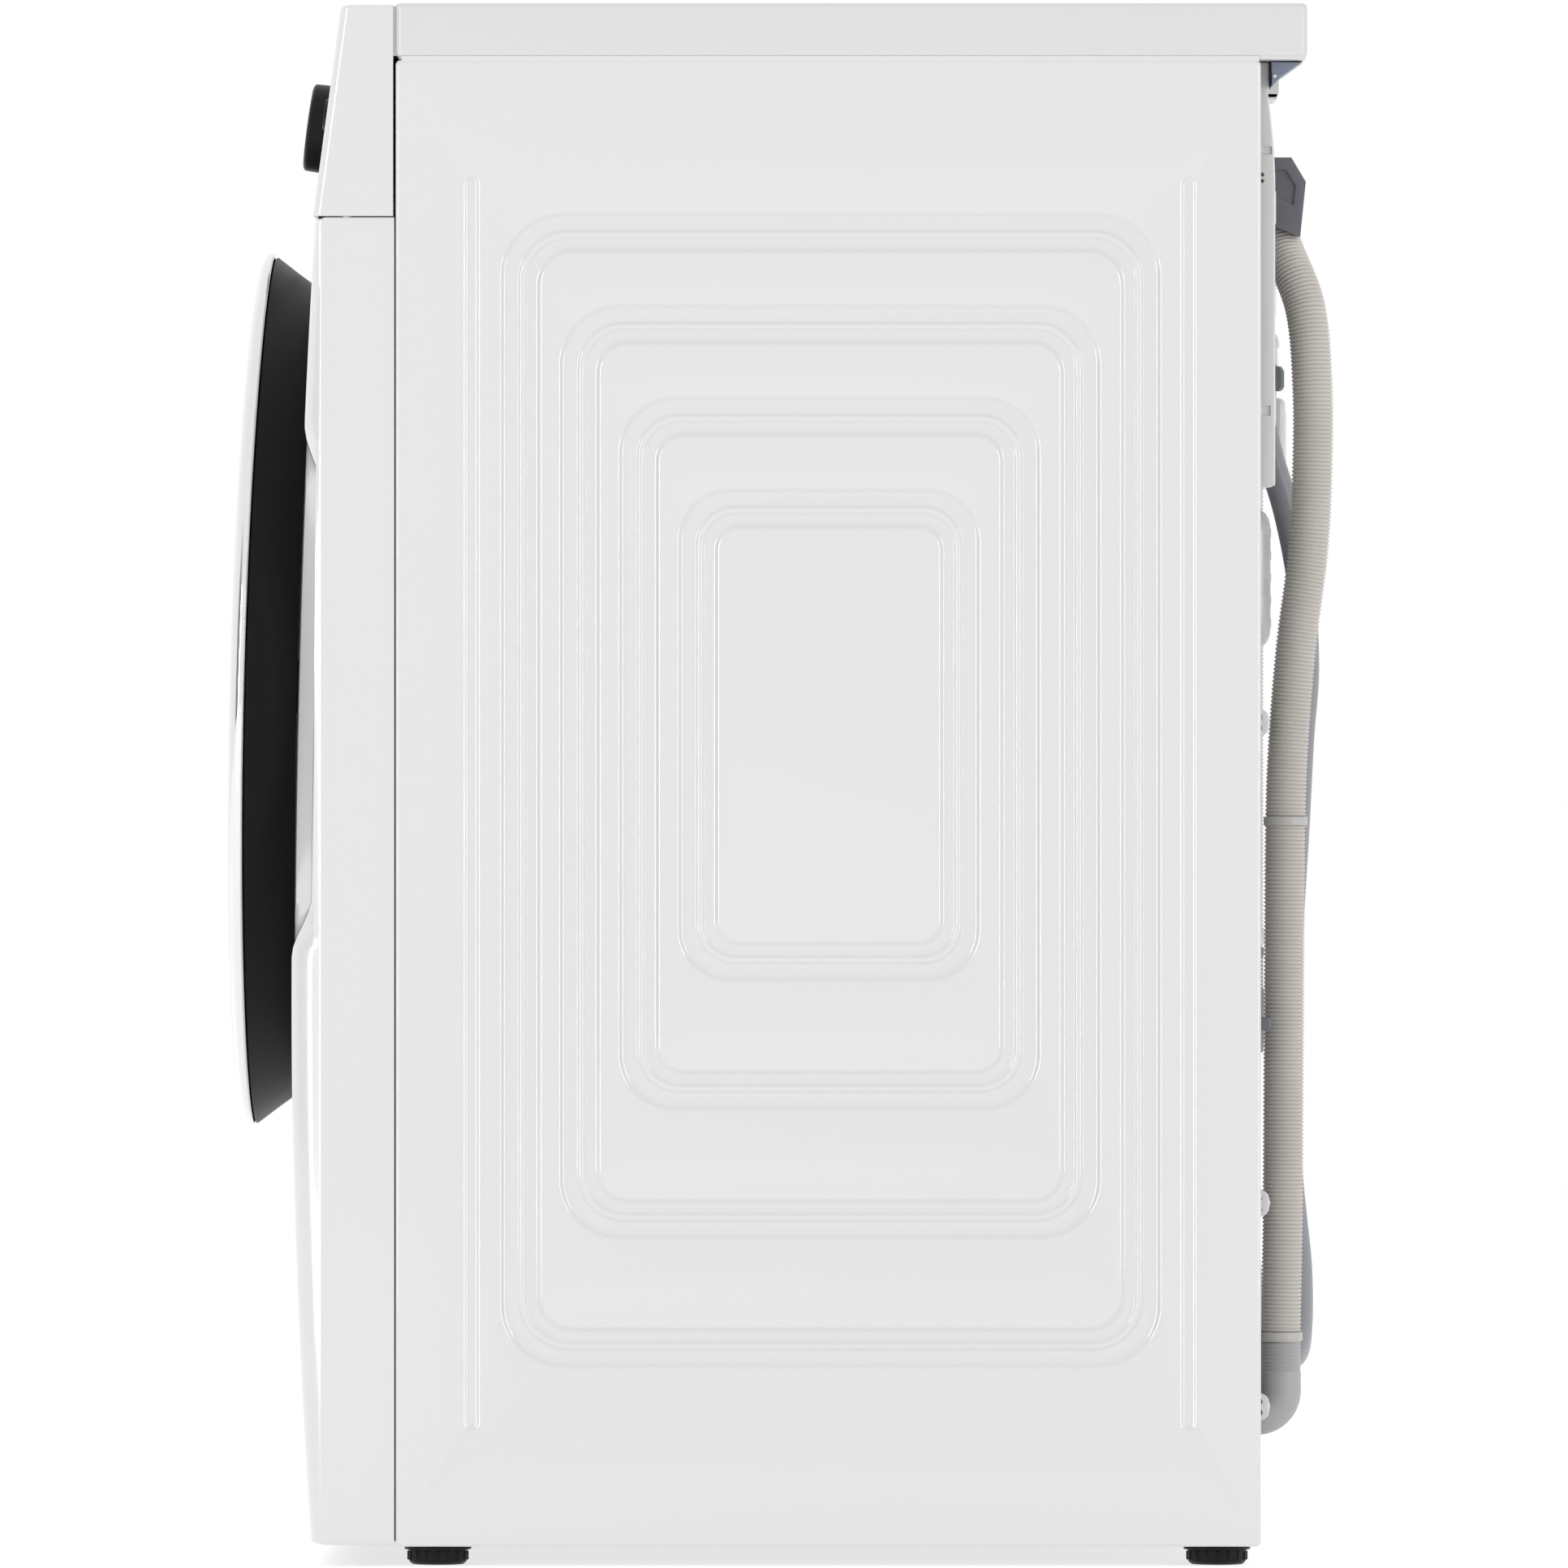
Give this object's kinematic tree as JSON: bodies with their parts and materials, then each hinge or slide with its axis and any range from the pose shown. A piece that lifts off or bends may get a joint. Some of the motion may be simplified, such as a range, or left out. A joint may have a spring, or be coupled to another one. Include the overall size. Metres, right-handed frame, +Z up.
{
  "type": "clothes dryer",
  "caption": "Front-loading washer-dryer with bowed front, hinged round door, drum on a sprung tub, detergent drawer, controls, levelling feet and rear hoses.",
  "frame": {"origin": "on the floor under the middle of the machine, hoses left out", "axes": "+Z up, -Y out of the front with the door, +X towards the machine's right side as the picture shows it"},
  "size_m": [0.598, 0.6105, 0.85],
  "materials": {
    "enamel": "smooth white enamel",
    "white_plastic": "satin white",
    "laminate": "satin white laminate",
    "black_plastic": "gloss black",
    "dark_glass": "dark tinted, polished",
    "chrome": "polished",
    "clear_glass": "clear, polished",
    "stainless": "brushed",
    "galvanised": "zinc-coated sheet",
    "grey_plastic": "satin dark grey",
    "hose": "satin warm grey, corrugated",
    "inlet_hose": "smooth grey",
    "dark_nut": "satin dark green-grey",
    "tub_plastic": "matte grey-white filled plastic",
    "rubber": "matte dark grey",
    "concrete": "cast, rough",
    "motor_metal": "cast aluminium",
    "spring_steel": "drawn wire",
    "bracket_steel": "blue-grey zinc coat"
  },
  "bodies": {
    "cabinet": {"side_panel_right": "enamel", "side_panel_left": "enamel", "rear_panel": "galvanised", "rear_access_cover": "galvanised", "rear_duct_cover": "white_plastic", "base_tray": "grey_plastic", "worktop": "laminate", "worktop_bracket": "bracket_steel", "front_panel": "enamel", "control_fascia": "white_plastic", "display_window": "dark_glass", "dispenser_housing": "white_plastic", "inlet_valve": "white_plastic", "drain_pump": "white_plastic", "door_lock": "black_plastic", "hinge_bracket": "stainless", "damper_tube_right": "black_plastic", "damper_tube_left": "black_plastic", "hose_clip_upper": "white_plastic", "hose_clip_lower": "white_plastic", "hose_hook": "grey_plastic", "drain_elbow": "inlet_hose", "cord_gland": "black_plastic", "drain_hose": "hose", "inlet_hose": "inlet_hose", "inlet_nut": "dark_nut", "door_gasket": "rubber", "spring_right": "spring_steel", "spring_left": "spring_steel"},
    "door": {"door_frame": "black_plastic", "door_ring": "chrome", "door_window": "dark_glass", "door_bowl": "clear_glass", "hinge_arm": "stainless"},
    "latch": {"latch_hook": "stainless"},
    "tub": {"tub_front": "tub_plastic", "tub_rear": "tub_plastic", "counterweight": "concrete", "motor": "motor_metal", "drive_belt": "rubber", "drying_duct": "galvanised", "damper_rod_right": "stainless", "damper_rod_left": "stainless"},
    "drum": {"drum_shell": "stainless", "drum_spider": "motor_metal", "drum_pulley": "galvanised", "drum_paddle_1": "grey_plastic", "drum_paddle_2": "grey_plastic", "drum_paddle_3": "grey_plastic"},
    "motor_pulley": {"motor_pulley": "stainless"},
    "knob": {"program_knob": "black_plastic"},
    "start_button": {"start_button": "black_plastic"},
    "drawer": {"drawer_front": "white_plastic", "drawer_tray": "white_plastic"},
    "flap": {"service_flap": "enamel"},
    "filter": {"filter_cap": "white_plastic"},
    "foot_front_right": {"foot_front_right": "black_plastic"},
    "foot_front_left": {"foot_front_left": "black_plastic"},
    "foot_rear_right": {"foot_rear_right": "black_plastic"},
    "foot_rear_left": {"foot_rear_left": "black_plastic"}
  },
  "joints": [
    {"name": "door_hinge", "type": "hinge", "parent": "cabinet", "child": "door", "pos_m": [-0.243, -0.275, 0.478], "axis": [0, 0, -1], "range_deg": [0, 150]},
    {"name": "latch_pivot", "type": "hinge", "parent": "door", "child": "latch", "pos_m": [0.2055, -0.254, 0.478], "axis": [0, 0, 1], "range_deg": [0, 8], "stiffness_Nm_per_rad": 0.3},
    {"name": "tub_suspension", "type": "slide", "parent": "cabinet", "child": "tub", "axis": [0, 0, 1], "range_m": [-0.008, 0.008], "stiffness_N_per_m": 12000, "springref_m": 0.02, "deforming": ["door_gasket", "spring_right", "spring_left"]},
    {"name": "drum_spin", "type": "hinge", "parent": "tub", "child": "drum", "pos_m": [0, 0, 0.478], "axis": [0, 1, 0], "continuous": true},
    {"name": "motor_spin", "type": "hinge", "parent": "tub", "child": "motor_pulley", "pos_m": [0.13, 0, 0.145], "axis": [0, 1, 0], "continuous": true},
    {"name": "knob_turn", "type": "hinge", "parent": "cabinet", "child": "knob", "pos_m": [0, -0.23705, 0.792], "axis": [0, -0.9911, 0.1331], "continuous": true},
    {"name": "start_press", "type": "slide", "parent": "cabinet", "child": "start_button", "axis": [0, 0.9911, -0.1331], "range_m": [0, 0.002], "stiffness_N_per_m": 300},
    {"name": "drawer_slide", "type": "slide", "parent": "cabinet", "child": "drawer", "axis": [0, -1, 0], "range_m": [0, 0.17]},
    {"name": "flap_hinge", "type": "hinge", "parent": "cabinet", "child": "flap", "pos_m": [0.17, -0.24665, 0.0385], "axis": [1, 0, 0], "range_deg": [0, 90]},
    {"name": "filter_turn", "type": "hinge", "parent": "cabinet", "child": "filter", "pos_m": [0.17, -0.236, 0.085], "axis": [0, -1, 0], "continuous": true},
    {"name": "foot_front_right_screw", "type": "slide", "parent": "cabinet", "child": "foot_front_right", "axis": [0, 0, -1], "range_m": [0, 0.015]},
    {"name": "foot_front_left_screw", "type": "slide", "parent": "cabinet", "child": "foot_front_left", "axis": [0, 0, -1], "range_m": [0, 0.015]},
    {"name": "foot_rear_right_screw", "type": "slide", "parent": "cabinet", "child": "foot_rear_right", "axis": [0, 0, -1], "range_m": [0, 0.015]},
    {"name": "foot_rear_left_screw", "type": "slide", "parent": "cabinet", "child": "foot_rear_left", "axis": [0, 0, -1], "range_m": [0, 0.015]}
  ],
  "couplings": [
    {"joint": "motor_spin", "follows": "drum_spin", "ratio": 10}
  ]
}
